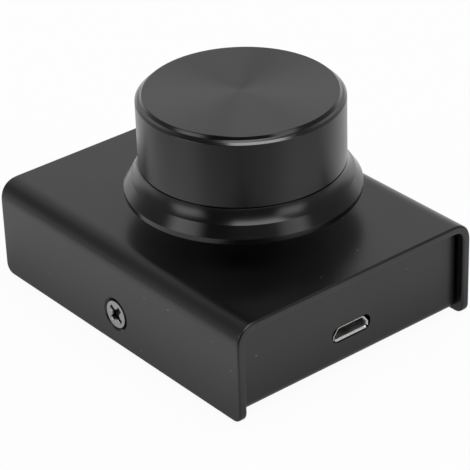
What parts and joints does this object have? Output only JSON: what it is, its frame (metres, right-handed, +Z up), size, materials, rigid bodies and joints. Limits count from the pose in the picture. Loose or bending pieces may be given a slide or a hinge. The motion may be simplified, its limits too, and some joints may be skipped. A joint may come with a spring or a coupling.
{
  "type": "desk volume control knob",
  "caption": "Desk volume control: a large turned metal knob that turns without end and presses down, on a small bent-sheet case with a micro USB socket.",
  "frame": {"origin": "on the desk surface under the middle of the case, where the rubber feet stand", "axes": "+Z up along the knob's axis, +Y along the case away from the end with the socket, +X across the case"},
  "size_m": [0.05, 0.064, 0.041],
  "materials": {
    "cover_metal": "bead-blasted, black anodised",
    "tray_metal": "bead-blasted, black anodised",
    "knob_metal": "turned and polished, black anodised",
    "screw_steel": "bright plated",
    "foot_rubber": "matte",
    "core_plastic": "moulded",
    "shaft_metal": "nickel plated, turned",
    "spring_steel": "thin spring sheet",
    "rotor_plastic": "moulded",
    "encoder_plastic": "moulded",
    "bushing_metal": "die-cast, plated",
    "bracket_steel": "tinned sheet",
    "tinned_metal": "tinned",
    "board_laminate": "solder mask over glass laminate",
    "socket_steel": "bright tinned",
    "socket_plastic": "moulded",
    "contact_gold": "gold flash",
    "chip_plastic": "moulded",
    "capacitor_ceramic": "ceramic"
  },
  "bodies": {
    "case": {"top_cover": "cover_metal", "base_tray": "tray_metal", "cover_screws": "screw_steel", "rubber_feet": "foot_rubber", "detent_spring": "spring_steel", "rotor_case": "encoder_plastic", "switch_case": "encoder_plastic", "switch_dome": "spring_steel", "encoder_bushing": "bushing_metal", "encoder_bracket": "bracket_steel", "encoder_terminals": "tinned_metal", "mounting_washer": "screw_steel", "mounting_nut": "screw_steel", "circuit_board": "board_laminate", "usb_shell": "socket_steel", "usb_insulator": "socket_plastic", "usb_contacts": "contact_gold", "controller_chip": "chip_plastic", "chip_leads": "tinned_metal", "crystal_can": "socket_steel", "chip_capacitors": "capacitor_ceramic", "chip_resistors": "chip_plastic"},
    "rotor": {"encoder_rotor": "rotor_plastic"},
    "knob": {"knob_shell": "knob_metal", "knob_core": "core_plastic", "encoder_shaft": "shaft_metal", "shaft_retainer": "spring_steel"},
    "plunger": {"switch_plunger": "rotor_plastic"}
  },
  "joints": [
    {"name": "knob_turn", "type": "hinge", "parent": "case", "child": "rotor", "pos_m": [0, -0.0037, 0.014], "axis": [0, 0, 1], "continuous": true},
    {"name": "knob_push", "type": "slide", "parent": "rotor", "child": "knob", "axis": [0, 0, -1], "range_m": [0, 0.0005], "stiffness_N_per_m": 6000, "springref_m": -0.0002},
    {"name": "plunger_press", "type": "slide", "parent": "case", "child": "plunger", "axis": [0, 0, -1], "range_m": [0, 0.0005], "deforming": ["switch_dome"]}
  ],
  "couplings": [
    {"joint": "plunger_press", "follows": "knob_push", "ratio": 1}
  ]
}
